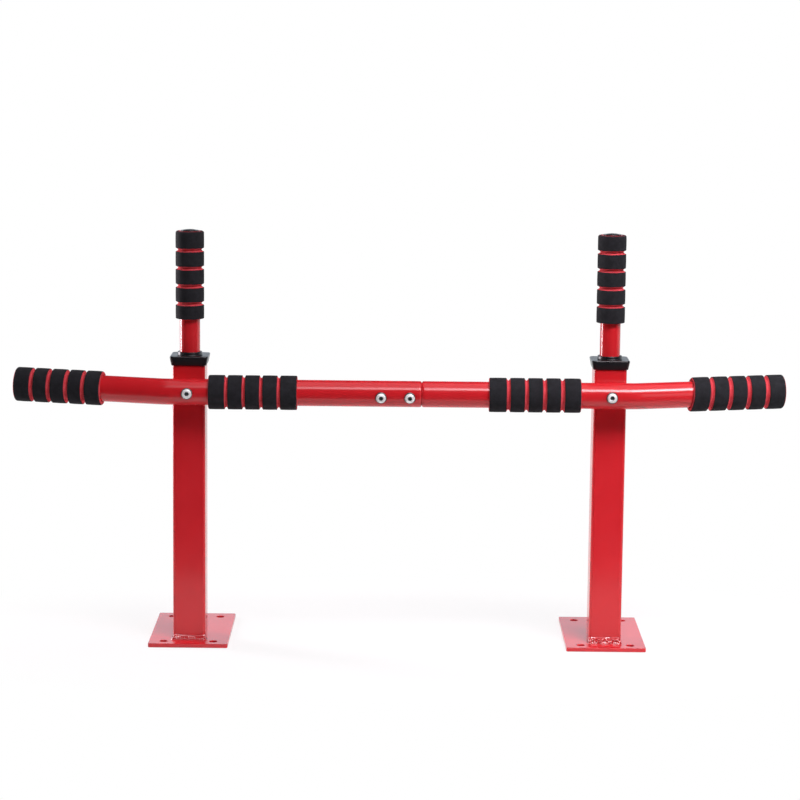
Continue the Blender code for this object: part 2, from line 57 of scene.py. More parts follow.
PLATE_CORNER = 0.0025
PLATE_EDGE = 0.0007
PLATE_HOLE_RADIUS = 0.005
PLATE_HOLE_X = 0.0305
PLATE_HOLE_ROWS = (-0.069, 0.064)
# Half the side of a hole's block of cells, and the cells between the grid's stops
PLATE_HOLE_BLOCK = 0.008
PLATE_COLUMNS = (4, 1, 10, 5, 10, 1, 4)
PLATE_ROWS = (4, 1, 10, 12, 10, 1, 4)


def positions(stops, steps):
    """Positions through the stops in turn, each stretch cut into its number of equal steps."""
    stretches = [np.linspace(a, b, n, endpoint=False) for a, b, n in zip(stops, stops[1:], steps)]
    return np.concatenate([*stretches, stops[-1:]])


def around(grid):
    """A grid whose last column meets its first."""
    return np.concatenate([grid, grid[:, :1]], axis=1)


def drilled(wall, rows, columns, centre, out, along, radius, lift):
    """Opens a round hole in a block of a grid and returns the collar that fills the block.

    A point of the collar lies on the straight line from the block's border to the hole's edge,
    seen along the drill: (p, q) goes from the border's (p, q) to the same direction at the
    radius. lift(p) is how far the surface stands from the centre along the drill.
    """
    centre, out, along = np.array(centre), np.array(out, float), np.array(along, float)
    across = np.cross(along, out)
    columns = np.arange(columns[0], columns[1] + 1) % wall.shape[1]
    block = wall[rows[0]:rows[1] + 1][:, columns]
    border = np.concatenate([block[0, :-1], block[:-1, -1], block[-1, :0:-1], block[:0:-1, 0]]) - centre
    p, q = border @ across, border @ along
    to_edge = np.linspace(0, 1, 5)[:, None]
    scale = 1 + to_edge * (radius / np.hypot(p, q) - 1)
    p, q = p * scale, q * scale
    wall[np.ix_(np.arange(rows[0] + 1, rows[1]), columns[1:-1])] = np.nan
    return around(centre + p[..., None] * across + q[..., None] * along + lift(p)[..., None] * out)


def stitched(name, grids, finishes=None, closed=True):
    """One mesh from grids of points: each cell with four known corners is a face, points at the
    same place become one, and each grid's faces take its finish."""
    points, faces, slots, count = [], [], [], 0
    for grid, slot in zip(grids, finishes or [0] * len(grids)):
        rows, columns = grid.shape[:2]
        index = count + np.arange(rows * columns).reshape(rows, columns)
        cells = np.stack([index[:-1, :-1], index[:-1, 1:], index[1:, 1:], index[1:, :-1]], -1)
        faces.append(cells.reshape(-1, 4))
        slots.append(np.full((rows - 1) * (columns - 1), slot))
        points.append(grid.reshape(-1, 3))
        count += rows * columns
    points, faces, slots = (np.concatenate(part) for part in (points, faces, slots))
    known = np.isfinite(points).all(axis=1)[faces].all(axis=1)
    used, corners = np.unique(faces[known], return_inverse=True)
    mesh = bpy.data.meshes.new(name)
    mesh.from_pydata(points[used].tolist(), [], corners.reshape(-1, 4).tolist())
    mesh.polygons.foreach_set("material_index", slots[known].astype(np.int32))
    shape = bmesh.new()
    shape.from_mesh(mesh)
    bmesh.ops.remove_doubles(shape, verts=shape.verts, dist=0.000004)
    if closed:
        bmesh.ops.recalc_face_normals(shape, faces=shape.faces)
    shape.to_mesh(mesh)
    shape.free()
    return mesh


def add_piece(node, mesh, *materials):
    """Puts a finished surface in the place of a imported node, smooth but for its real edges."""
    for material in materials:
        mesh.materials.append(material)
    mesh.shade_smooth()
    mesh.set_sharp_from_angle(angle=math.radians(38))
    piece = bpy.data.objects.new("finished_" + node, mesh)
    bpy.context.scene.collection.objects.link(piece)
    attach(piece, "root")
    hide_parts(node)
    return piece


def linear(colour):
    """An sRGB hex colour as linear RGBA: c / 12.92 up to 0.04045, else ((c + 0.055) / 1.055) ^ 2.4."""
    c = np.array([int(colour[i:i + 2], 16) for i in (1, 3, 5)]) / 255
    return (*np.where(c <= 0.04045, c / 12.92, ((c + 0.055) / 1.055) ** 2.4).tolist(), 1.0)


def add_node(tree, kind, inputs, **settings):
    """Adds a shader node whose properties are the settings, and sets or links its inputs."""
    node = tree.nodes.new("ShaderNode" + kind)
    for name, value in settings.items():
        setattr(node, name, value)
    set_inputs(tree, node, inputs)
    return node


def set_inputs(tree, node, inputs):
    """Gives each named input of a node its value, or a link where the value is a socket."""
    for name, value in inputs.items():
        if isinstance(value, bpy.types.NodeSocket):
            tree.links.new(value, node.inputs[name])
        else:
            node.inputs[name].default_value = value


def new_material(name):
    """A node material with its tree, its surface shader and the object's own coordinates."""
    material = bpy.data.materials.new(name)
    material.use_nodes = True
    tree = material.node_tree
    place = add_node(tree, "TexCoord", {}).outputs["Object"]
    return material, tree, tree.nodes["Principled BSDF"], place


# Gloss powder coat, sprayed as dry powder and melted in an oven. It levels out to a deep wet
# red with a faint orange peel of 3 mm waves, and dulls a little where it lies thinner.
COAT_DRIFT = 0.06
PEEL_WAVE = 0.003


def powder_coat(name, deep, thin, roughness=0.15, ior=1.5):
    """Melted powder: a colour that drifts over 6 cm from deep to thin, and orange peel."""
    material, tree, shader, place = new_material(name)
    drift = add_node(tree, "TexNoise", {"Vector": place, "Scale": 1 / COAT_DRIFT, "Detail": 3.0})
    peel = add_node(tree, "TexNoise", {"Vector": place, "Scale": 1 / PEEL_WAVE, "Detail": 1.0})
    shade = add_node(tree, "Mix", {0: drift.outputs["Fac"], 6: linear(deep), 7: linear(thin)},
                     data_type="RGBA")
    gloss = add_node(tree, "MapRange", {"Value": drift.outputs["Fac"], "From Min": 0.3, "From Max": 0.7,
                                        "To Min": roughness, "To Max": roughness + 0.06})
    wave = add_node(tree, "Bump", {"Height": peel.outputs["Fac"], "Strength": 1.0, "Distance": 0.00001})
    set_inputs(tree, shader, {"Base Color": shade.outputs[2], "Roughness": gloss.outputs["Result"],
                              "Normal": wave.outputs["Normal"], "IOR": ior})
    return material


red_coat = powder_coat("gloss_red_powder_coat", "#C01C22", "#CA252C")
# Painted shade: the plate's cut edges and the walls of its bolt holes get a darker red, for the shade that
# falls along the edges and down in the holes
painted_shade_edge_coat = powder_coat("red_powder_coat_with_painted_shade_on_cut_edges", "#BA1E25", "#C6262D")

for side_name, side in SIDES.items():
    block = PLATE_HOLE_BLOCK
    low, high = PLATE_HOLE_ROWS
    edge_x, edge_y = PLATE_HALF_WIDTH, PLATE_HALF_LENGTH
    round_x, round_y = edge_x - PLATE_CORNER, edge_y - PLATE_CORNER
    x = positions((-edge_x, -round_x, -PLATE_HOLE_X - block, -PLATE_HOLE_X + block,
                   PLATE_HOLE_X - block, PLATE_HOLE_X + block, round_x, edge_x), PLATE_COLUMNS)
    y = positions((-edge_y, -round_y, low - block, low + block,
                   high - block, high + block, round_y, edge_y), PLATE_ROWS)
    x, y = np.meshgrid(x, y)
    # A corner's points move in along their line to the arc's centre, so that the square is a circle
    dx = np.maximum(abs(x) - round_x, 0)
    dy = np.maximum(abs(y) - round_y, 0)
    pull = np.where(dx * dy > 0, np.maximum(dx, dy) / np.maximum(np.hypot(dx, dy), 1e-9), 1) - 1
    sheet = np.stack([side * ARM_X + x + np.sign(x) * dx * pull,
                      PLATE_CENTRE_Y + y + np.sign(y) * dy * pull, 0 * x + PLATE_THICKNESS], -1)
    collars = []
    column_stops, row_stops = np.cumsum(PLATE_COLUMNS), np.cumsum(PLATE_ROWS)
    for i, hole_x in ((1, -PLATE_HOLE_X), (3, PLATE_HOLE_X)):
        for j, hole_y in ((1, low), (3, high)):
            centre = (side * ARM_X + hole_x, PLATE_CENTRE_Y + hole_y, 0)
            collars.append(drilled(sheet, row_stops[j:j + 2], column_stops[i:i + 2], centre, (0, 0, 1),
                                   (0, 1, 0), PLATE_HOLE_RADIUS, lambda p: 0 * p + PLATE_THICKNESS))
    mesh = stitched(side_name + "_wall_plate_sheet", [sheet, *collars], closed=False)
    plate = add_piece(side_name + "_wall_plate", mesh, red_coat, painted_shade_edge_coat)
    thickness = plate.modifiers.new("thickness", "SOLIDIFY")
    thickness.thickness = PLATE_THICKNESS
    thickness.offset = -1
    # The rims that this makes, the plate's cut edges and the bolt holes' walls, take the painted shade
    thickness.material_offset_rim = 1
    edge = plate.modifiers.new("deburred_edge", "BEVEL")
    edge.width = PLATE_EDGE
    edge.segments = 3
    edge.limit_method = "ANGLE"
    edge.angle_limit = math.radians(50)
    edge.harden_normals = True


# Arms: square tube of 40 mm with a 2 mm wall, its corners rolled round, sawn square at the foot
# and drilled across near the top for the bolt that holds the bar. Same red coat as the plates.
ARM_HALF = 0.020
ARM_WALL = 0.002
ARM_CORNER = 0.0035
ARM_TOP = 0.3465
BOLT_Z = 0.3170
BOLT_HOLE_RADIUS = 0.0043
ARM_BLOCK = 0.0066
# Cells between the stops of an arm's height, and of a side's flat
ARM_ROWS = (12, 8, 2)
FLAT_STEPS = (1, 5, 8, 5, 1)


def square_ring(half, corner):
    """Points round a square whose corners are arcs: each side's flat, then the quarter circle
    (sin t, -cos t) about the corner's centre, turned by a quarter turn for the next side."""
    flat = positions((-1, -0.97, -0.4, 0.4, 0.97, 1), FLAT_STEPS) * (half - corner)
    t = np.linspace(0, math.pi / 2, 9)[1:-1]
    side_x = np.concatenate([flat, half - corner + corner * np.sin(t)])
    side_y = np.concatenate([0 * flat - half, corner - half - corner * np.cos(t)])
    turns = [(side_x, side_y), (-side_y, side_x), (-side_x, -side_y), (side_y, -side_x)]
    return np.stack([np.concatenate([a for a, _ in turns]), np.concatenate([b for _, b in turns])], -1)


def upright(ring, heights, centre):
    """A ring of (x, y) carried straight up through the heights."""
    points = np.empty((len(heights), len(ring), 3))
    points[..., :2] = ring + np.array(centre)
    points[..., 2] = np.array(heights)[:, None]
    return points


for side_name, side in SIDES.items():
    centre = (side * ARM_X, ARM_Y)
    heights = positions((PLATE_THICKNESS, BOLT_Z - ARM_BLOCK, BOLT_Z + ARM_BLOCK, ARM_TOP), ARM_ROWS)
    walls, collars = [], []
    for half, corner in ((ARM_HALF, ARM_CORNER), (ARM_HALF - ARM_WALL, ARM_CORNER - ARM_WALL)):
        ring = square_ring(half, corner)
        walls.append(upright(ring, heights, centre))
        # The bolt goes through the middle of the ring's first and third flats
        for start, out in ((0, (0, -1, 0)), (len(ring) // 2, (0, 1, 0))):
            collars.append(drilled(walls[-1], np.cumsum(ARM_ROWS)[:2], start + np.cumsum(FLAT_STEPS)[1:3],
                                   (*centre, BOLT_Z), out, (0, 0, 1), BOLT_HOLE_RADIUS,
                                   lambda p, half=half: 0 * p + half))
    rims = [np.stack([walls[0][end], walls[1][end]]) for end in (0, -1)]
    bores = [np.stack([collars[i][-1], collars[i + 2][-1]]) for i in (0, 1)]
    grids = [around(wall) for wall in walls + rims] + collars + bores
    add_piece(side_name + "_arm", stitched(side_name + "_arm_tube", grids), red_coat)


# Welds: one bead across the front and one across the back of each arm's foot, laid by hand. The
# left front one flowed out smooth with two hollows, the right front one froze in thick folds.
# The red coat flows over them thick and wet.
WELD_GRID = (181, 27)
WELD_RIPPLE = 0.0026
WELD_RIPPLE_HEIGHT = 0.00008
WELD_ROUND_END = 0.0030
# Share of a straight chamfer in the fillet's section, the rest being a quarter round
WELD_FLATNESS = 0.6
# How steeply the relief grows away from the plate and arm, and from the ends
WELD_RISE = (2.2, 1.5)
# Legs on plate and arm, half widths on plate and arm, sag, lumps, seed
WELDS = {
    "left_arm_front_weld": (0.0056, 0.0064, 0.0226, 0.0206, 0.0014, 0.00030, 5),
    "right_arm_front_weld": (0.0088, 0.0076, 0.0216, 0.0206, 0.0, 0.00150, 8),
    "left_arm_back_weld": (0.0044, 0.0044, 0.0186, 0.0178, 0.0, 0.00030, 3),
    "right_arm_back_weld": (0.0044, 0.0045, 0.0186, 0.0178, 0.0, 0.00035, 9),
}
# Creases that wander across a bead: middle angle, swing, waves over the length, phase, depth
WELD_CREASES = ((1.00, 0.32, 2.3, 0.4, 1.0), (0.48, 0.26, 3.1, 2.0, 0.8))
CREASE_WIDTH = 0.12
# Round lumps: how many, and their spread along the bead and in angle
LUMP_COUNT, LUMP_LENGTH, LUMP_ANGLE = 9, 0.09, 0.24
# Undercut at the arm and at the plate: angle and depth
WELD_TOES = ((1.44, 0.0010), (0.12, 0.0006))
TOE_WIDTH = 0.09
# Hollows of a sagged bead: middle and spread along it
HOLLOWS = ((0.42, 0.34), (-0.38, 0.22))
HOLLOW_DEPTH, HOLLOW_MIDDLE, HOLLOW_ANGLE = 0.0008, 0.85, 0.26

# Where the coat runs thick over the beads it stays wetter than on the flat steel
weld_coat = powder_coat("thick_red_powder_coat_on_welds", "#AC161B", "#B82027", 0.09, 1.85)


def weld_bead(foot_leg, arm_leg, foot_half, arm_half, sag, lump, seed):
    """Bead in the corner y = 0, z = 0: at each share u of its length a fan of angles v from the
    plate up to the arm. The radius is a flat fillet with round ends, plus ripples and round
    lumps, less creases that follow sine paths in (u, v), less the undercut and the hollows. All
    of it fades out towards the plate, the arm and the ends."""
    u, v = np.meshgrid(np.linspace(-1, 1, WELD_GRID[0]), np.linspace(0, math.pi / 2, WELD_GRID[1]),
                       indexing="ij")
    chance = np.random.default_rng(seed)
    x = u * (foot_half + (arm_half - foot_half) * np.sin(v))
    to_end = np.clip((foot_half - abs(u) * foot_half) / WELD_ROUND_END, 0, 1)
    fade = np.clip(WELD_RISE[0] * np.sin(2 * v), 0, 1) * np.clip(WELD_RISE[1] * to_end, 0, 1)
    relief = WELD_RIPPLE_HEIGHT * np.cos(2 * math.pi * (x / WELD_RIPPLE + 0.5 * np.sin(2 * v)))
    for middle, swing, waves, phase, depth in WELD_CREASES:
        track = middle + swing * np.sin(math.pi * waves * u + phase)
        relief -= lump * depth * np.exp(-((v - track) / CREASE_WIDTH) ** 2)
    places = np.linspace(-0.88, 0.88, LUMP_COUNT) + chance.uniform(-0.06, 0.06, LUMP_COUNT)
    tilts = chance.uniform(0.35, 1.2, LUMP_COUNT)
    heights = chance.uniform(-0.2, 0.6, LUMP_COUNT) * lump
    past = (u[..., None] - places) / LUMP_LENGTH
    above = (v[..., None] - tilts) / LUMP_ANGLE
    relief += (heights * np.exp(-past ** 2 - above ** 2)).sum(-1)
    for angle, depth in WELD_TOES:
        relief -= depth * np.exp(-((v - angle) / TOE_WIDTH) ** 2)
    if sag > 0:
        for middle, spread in HOLLOWS:
            relief -= HOLLOW_DEPTH * np.exp(-((u - middle) / spread) ** 4
                                            - ((v - HOLLOW_MIDDLE) / HOLLOW_ANGLE) ** 2)
    fillet = WELD_FLATNESS / (np.sin(v) + np.cos(v)) + 1 - WELD_FLATNESS
    full = np.sqrt(1 - (1 - to_end) ** 2)
    top = arm_leg - sag * np.cos(math.pi / 2 * u)
    y = -full * np.cos(v) * (foot_leg * fillet + relief * fade)
    z = full * np.sin(v) * (top * fillet + relief * fade)
    bead = np.stack([x, y, z], -1)
    root = np.stack([x[:, :1], 0 * x[:, :1], 0 * x[:, :1]], -1)
    return around(np.concatenate([bead, root], axis=1))


for node, form in WELDS.items():
    side = SIDES[node.split("_")[0]]
    facing = 1 if "front" in node else -1
    bead = weld_bead(*form) * (1, facing, 1)
    bead += (side * ARM_X, ARM_Y - facing * ARM_HALF, PLATE_THICKNESS)
    add_piece(node, stitched(node + "_bead", [bead]), weld_coat)


# Bar: two halves of 32 mm round tube, each bent back by 8 degrees outside its arm. The right
# half has a swaged spigot that slides into the left one. Same red coat, edges rolled over.
BAR_Y = -0.06765
BAR_ROLL = math.radians(9)
BAR_RADIUS = 0.016
BAR_BORE = 0.014
BAR_COLUMNS = 120
BAR_END = 0.4705
BEND_START = 0.27881
BEND_RADIUS = 0.110
BEND_ANGLE = math.radians(8)
SEAM_X = 0.027
# Rounding of a tube's edge as (length, depth): rolled over at the seam, broken at its end
SEAM_ROUND = (0.0030, 0.0016)
END_ROUND = (0.0005, 0.0005)
# A ring this close behind a rounding keeps its shading off the tube
SHADE_ROW = 0.0004
SEAM_GAP = 0.00015
SPIGOT_RADIUS = 0.0137
SPIGOT_BORE = 0.0117
SPIGOT_END = -0.043
SPIGOT_CHAMFER = (0.0012, 0.0003)
# Length over which the right half's bore narrows to the spigot's
THROAT = 0.032
JOIN_SCREWS = {"left_join_screw": -0.0224, "right_join_screw": 0.0126}
BAR_BLOCK = 0.0065
# Cells of a hole's block along the tube and to each side, and a cell's length elsewhere
BLOCK_ROWS = 8
BLOCK_COLUMNS = 8
BAR_CELL = 0.02
# Columns from the arm's bolt to the bar's own front, because of the roll
ROLL_COLUMNS = 3


def bar_line(run, side):
    """The bar's middle line at distances from its centre, and the direction across it to the
    front: straight, then an arc (R sin t, R (1 - cos t)), then straight along the arc's end."""
    t = np.clip((run - BEND_START) / BEND_RADIUS, 0, BEND_ANGLE)
    beyond = np.maximum(run - BEND_START - BEND_RADIUS * BEND_ANGLE, 0)
    x = np.minimum(run, BEND_START) + BEND_RADIUS * np.sin(t) + beyond * np.cos(t)
    y = BEND_RADIUS * (1 - np.cos(t)) + beyond * np.sin(t)
    return (np.stack([side * x, y, 0 * x], -1), np.stack([side * np.sin(t), -np.cos(t), 0 * t], -1))


def rolled(points, move=True):
    """From the bar's own plane to the object's: turned by the bar's roll about X, then moved."""
    c, s = math.cos(BAR_ROLL), math.sin(BAR_ROLL)
    points = np.asarray(points, float) @ np.array([[1, 0, 0], [0, c, s], [0, -s, c]])
    return points + (np.array([0, BAR_Y, BOLT_Z]) if move else 0)


def bar_surface(run, radius, side):
    """Circles of one or more radii round the bar's line, from the front towards +Z."""
    line, front = bar_line(np.asarray(run, float), side)
    a = np.arange(BAR_COLUMNS) * 2 * math.pi / BAR_COLUMNS
    spoke = np.cos(a)[None, :, None] * front[:, None] + np.sin(a)[None, :, None] * np.array([0, 0, 1.0])
    radius = np.broadcast_to(np.asarray(radius, float), len(line))
    return rolled(line[:, None] + radius[:, None, None] * spoke)


def rolled_edge(run, radius, size, towards):
    """Quarter ellipse of (length, depth) from a tube's end face to its outer side, as runs and
    radii, and one more ring close behind it, so that the shading doesn't spread along the tube."""
    t = np.linspace(0, math.pi / 2, 8)
    length, depth = size
    return (np.append(run + towards * length * (1 - np.cos(t)), run + towards * (length + SHADE_ROW)),
            np.append(radius - depth * (1 - np.sin(t)), radius))


def tube_with_holes(walls, radii, ends, holes, side):
    """Grids of a tube from its outer and inner wall, drilled through along the given directions."""
    grids = []
    for rows, run, out, column in holes:
        centre = rolled(bar_line(np.array([run]), side)[0])[0]
        edges = []
        for wall, radius, wall_rows in zip(walls, radii, rows):
            for facing, middle in ((1, column), (-1, column + BAR_COLUMNS // 2)):
                collar = drilled(wall, wall_rows, (middle - BLOCK_COLUMNS, middle + BLOCK_COLUMNS), centre,
                                 facing * out, (1, 0, 0), BOLT_HOLE_RADIUS,
                                 lambda p, radius=radius: np.sqrt(radius ** 2 - p ** 2))
                grids.append(collar)
                edges.append(collar[-1])
        grids += [np.stack([edges[0], edges[2]]), np.stack([edges[1], edges[3]])]
    return grids + [around(wall) for wall in (*walls, *ends)]


def rows_near(runs, place):
    """First and last row of the block that was laid round a hole."""
    return (int(np.argmin(abs(runs - place + BAR_BLOCK))), int(np.argmin(abs(runs - place - BAR_BLOCK))))


FRONT = np.array([0, -1.0, 0])
SCREW_OUT = rolled(FRONT, move=False)
bend = np.linspace(BEND_START, BEND_START + BEND_RADIUS * BEND_ANGLE, 13)
end_run, end_radius = rolled_edge(BAR_END, BAR_RADIUS, END_ROUND, -1)
for side_name, side in SIDES.items():
    seam = SEAM_GAP + side * SEAM_X
    edge_run, edge_radius = rolled_edge(seam, BAR_RADIUS, SEAM_ROUND, 1)
    screws = [side * x for x in JOIN_SCREWS.values()] if side < 0 else []
    stops, counts = [edge_run[-1]], []
    for place in sorted(screws) + [ARM_X]:
        counts += [max(1, round((place - BAR_BLOCK - stops[-1]) / BAR_CELL)), BLOCK_ROWS]
        stops += [place - BAR_BLOCK, place + BAR_BLOCK]
    straight = positions([*stops, BEND_START], [*counts, 2])
    runs = np.concatenate([edge_run[:-1], straight[:-1], bend, np.linspace(bend[-1], end_run[-1], 8)[1:],
                           end_run[-2::-1]])
    middle = np.full(len(runs) - len(edge_radius) - len(end_radius), BAR_RADIUS)
    outer = bar_surface(runs, np.concatenate([edge_radius, middle, end_radius[::-1]]), side)
    bore_start = seam if side < 0 else seam + THROAT
    inner_runs = np.concatenate([[bore_start], straight[straight > bore_start + 0.001], bend[1:], [BAR_END]])
    inner = bar_surface(inner_runs, BAR_BORE, side)
    ends = [np.stack([outer[-1], inner[-1]])]
    if side < 0:
        ends.append(np.stack([outer[0], inner[0]]))
    drills = [(ARM_X, FRONT, ROLL_COLUMNS)] + [(x, SCREW_OUT, 0) for x in screws]
    holes = [((rows_near(runs, x), rows_near(inner_runs, x)), x, out, column) for x, out, column in drills]
    grids = tube_with_holes((outer, inner), (BAR_RADIUS, BAR_BORE), ends, holes, side)
    if side > 0:
        spots = sorted(JOIN_SCREWS.values())
        shank_end = SPIGOT_END + SPIGOT_CHAMFER[0]
        spigot_runs = positions((shank_end, spots[0] - BAR_BLOCK, spots[0] + BAR_BLOCK,
                                 spots[1] - BAR_BLOCK, spots[1] + BAR_BLOCK, seam),
                                (1, BLOCK_ROWS, 2, BLOCK_ROWS, 1))
        spigot = bar_surface(spigot_runs, SPIGOT_RADIUS, side)
        bore = bar_surface(spigot_runs, SPIGOT_BORE, side)
        tip = bar_surface([shank_end, SPIGOT_END, SPIGOT_END, shank_end],
                          [SPIGOT_RADIUS, SPIGOT_RADIUS - SPIGOT_CHAMFER[1], SPIGOT_BORE, SPIGOT_BORE], side)
        throat = bar_surface([seam, seam + THROAT / 2, seam + THROAT],
                             [SPIGOT_BORE, SPIGOT_BORE, BAR_BORE], side)
        shoulder = np.stack([outer[0], spigot[-1]])
        holes = [([rows_near(spigot_runs, x)] * 2, x, SCREW_OUT, 0) for x in spots]
        grids += tube_with_holes((spigot, bore), (SPIGOT_RADIUS, SPIGOT_BORE),
                                 [tip, throat, shoulder], holes, side)
    add_piece(side_name + "_bar", stitched(side_name + "_bar_tube", grids), red_coat)


# Handles: 25 mm round tube that stands in the arm's open end, drilled at its foot for the same
# bolt as the bar. Same red coat.
HANDLE_RADIUS = 0.0125
HANDLE_BORE = 0.0105
HANDLE_FOOT = 0.2920
HANDLE_TOP = 0.5100
HANDLE_COLUMNS = 96


def circle_ring(radius, columns):
    """Points round a circle, counted from the front: (r sin a, -r cos a)."""
    a = np.arange(columns) * 2 * math.pi / columns
    return radius * np.stack([np.sin(a), -np.cos(a)], -1)


def turned(section, columns):
    """A section of (radius, height), where either may change round the ring, carried round Z:
    (r sin a, -r cos a, h)."""
    unit = circle_ring(1.0, columns)
    grid = np.empty((len(section), columns, 3))
    for i, (radius, height) in enumerate(section):
        grid[i, :, :2] = np.broadcast_to(radius, columns)[:, None] * unit
        grid[i, :, 2] = height
    return grid


lip_run, lip_radius = rolled_edge(HANDLE_TOP, HANDLE_RADIUS, END_ROUND, -1)
lip_section = [*zip(lip_radius[::-1], lip_run[::-1]), (HANDLE_BORE, HANDLE_TOP), (HANDLE_BORE, lip_run[-1])]
for side_name, side in SIDES.items():
    centre = (side * ARM_X, ARM_Y)
    stops = (HANDLE_FOOT, BOLT_Z - BAR_BLOCK, BOLT_Z + BAR_BLOCK, lip_run[-1])
    heights = positions(stops, (2, BLOCK_ROWS, 10))
    walls, collars = [], []
    for radius in (HANDLE_RADIUS, HANDLE_BORE):
        walls.append(upright(circle_ring(radius, HANDLE_COLUMNS), heights, centre))
        for middle, out in ((0, (0, -1, 0)), (HANDLE_COLUMNS // 2, (0, 1, 0))):
            columns = (middle - BLOCK_COLUMNS, middle + BLOCK_COLUMNS)
            collars.append(drilled(walls[-1], (2, 2 + BLOCK_ROWS), columns, (*centre, BOLT_Z), out, (0, 0, 1),
                                   BOLT_HOLE_RADIUS, lambda p, radius=radius: np.sqrt(radius ** 2 - p ** 2)))
    lip = turned(lip_section, HANDLE_COLUMNS) + (*centre, 0)
    foot = np.stack([walls[0][0], walls[1][0]])
    bores = [np.stack([collars[i][-1], collars[i + 2][-1]]) for i in (0, 1)]
    grids = [around(wall) for wall in [*walls, lip, foot]] + collars + bores
    add_piece(side_name + "_handle_tube", stitched(side_name + "_handle_round_tube", grids), red_coat)


# Caps on the arms: injection moulded black polypropylene, a plug inside the square tube under a
# tapered square head, with a collar on top that grips the handle tube.
CAP_FOOT = 0.3468
CAP_TOP = 0.3581
CAP_COLLAR_TOP = 0.3621
CAP_INSERT = 0.018
CAP_BOTTOM_HALF = 0.0216
CAP_TOP_HALF = 0.0234
COLLAR_RADIUS = 0.0150
COLLAR_BORE = 0.0128
INSERT_HALF = 0.0177
INSERT_CORNER = 0.002
# Roundings: the head's lower edge and shoulder, the collar's foot, lip and bore
UNDER_ROUND = 0.0008
SHOULDER_ROUND = 0.0014
COLLAR_FILLET = 0.0008
COLLAR_LIP = 0.0009
BORE_LIP = 0.0005
# Corners of the square head at its foot and shoulder, and of the squares drawn to circles
HEAD_CORNERS = (0.0036, 0.0044)
CIRCLE_CORNER = 0.006

# Moulded polypropylene is a soft black with a broad shine, from a mould with a fine spark-eroded
# grain of 0.3 mm, drawn here at 0.8 mm so that it shows.
black_plastic, tree, shader, place = new_material("moulded_black_polypropylene")
grain = add_node(tree, "TexNoise", {"Vector": place, "Scale": 1 / 0.0008, "Detail": 2.0})
flow = add_node(tree, "TexNoise", {"Vector": place, "Scale": 1 / 0.02, "Detail": 2.0})
shade = add_node(tree, "Mix", {0: flow.outputs["Fac"], 6: linear("#0E0F11"), 7: linear("#17181B")},
                 data_type="RGBA")
gloss = add_node(tree, "MapRange", {"Value": flow.outputs["Fac"], "From Min": 0.3, "From Max": 0.7,
                                    "To Min": 0.27, "To Max": 0.35})
rough = add_node(tree, "Bump", {"Height": grain.outputs["Fac"], "Strength": 0.6, "Distance": 0.00001})
set_inputs(tree, shader, {"Base Color": shade.outputs[2], "Roughness": gloss.outputs["Result"],
                          "Normal": rough.outputs["Normal"], "IOR": 1.49})


def arc(centre, radius, start, stop, steps=6):
    """Points (x, y) on a circle between two angles in degrees."""
    t = np.radians(np.linspace(start, stop, steps))
    return np.stack([centre[0] + radius * np.cos(t), centre[1] + radius * np.sin(t)], -1)


def cap_surface(section):
    """Rings through (half width, corner, height, roundness): a square with round corners drawn
    towards the circle of the same half width by the roundness."""
    rings = []
    for half, corner, height, roundness in section:
        square = square_ring(half, corner)
        circle = half * square / np.hypot(*square.T)[:, None]
        rings.append(np.column_stack([square + roundness * (circle - square), np.full(len(square), height)]))
    return np.stack(rings)


lean = math.degrees(math.atan2(CAP_TOP_HALF - CAP_BOTTOM_HALF, CAP_TOP - CAP_FOOT))
under = arc((CAP_BOTTOM_HALF - UNDER_ROUND, CAP_FOOT + UNDER_ROUND), UNDER_ROUND, -90, -lean)
shoulder = arc((CAP_TOP_HALF - SHOULDER_ROUND, CAP_TOP - SHOULDER_ROUND), SHOULDER_ROUND, -lean, 90, 8)
foot_fillet = arc((COLLAR_RADIUS + COLLAR_FILLET, CAP_TOP + COLLAR_FILLET), COLLAR_FILLET, 270, 180)
collar_lip = arc((COLLAR_RADIUS - COLLAR_LIP, CAP_COLLAR_TOP - COLLAR_LIP), COLLAR_LIP, 0, 90)
bore_lip = arc((COLLAR_BORE + BORE_LIP, CAP_COLLAR_TOP - BORE_LIP), BORE_LIP, 90, 180)
insert_foot = CAP_FOOT - CAP_INSERT
insert_tip = (INSERT_HALF - 0.001, INSERT_CORNER, insert_foot, 0)
section = [insert_tip] + [(INSERT_HALF, INSERT_CORNER, h, 0) for h in (insert_foot + 0.002, CAP_FOOT)]
section += [(r, HEAD_CORNERS[0], h, 0) for r, h in under]
section += [(r, HEAD_CORNERS[1], h, 0) for r, h in shoulder]
# Two rings on the flat top lead from the square to the collar's circle
section += [(0.0205, 0.0050, CAP_TOP, 0.0), (0.0180, CIRCLE_CORNER, CAP_TOP, 0.45)]
section += [(r, CIRCLE_CORNER, h, 1) for r, h in np.concatenate([foot_fillet, collar_lip, bore_lip])]
section += [(COLLAR_BORE, CIRCLE_CORNER, insert_foot, 1), insert_tip]
for side_name, side in SIDES.items():
    cap = cap_surface(section) + (side * ARM_X, ARM_Y, 0)
    add_piece(side_name + "_arm_cap", stitched(side_name + "_arm_cap_moulding", [around(cap)]), black_plastic)


# Grips: sleeves of closed-cell foam rubber in two layers, a red core under a black skin, blown
# on over the tube. Four grooves are ground through the skin, so the red shows as stripes.
GRIP_WALL = 0.00495
SKIN = 0.0008
RING_CORNER = 0.0006
GROOVE_DEPTH = 0.0032
CROWN = 0.00012
GRIP_COLUMNS = 96
TUBE_CLEARANCE = 0.0003
BORE_EDGE = 0.0003
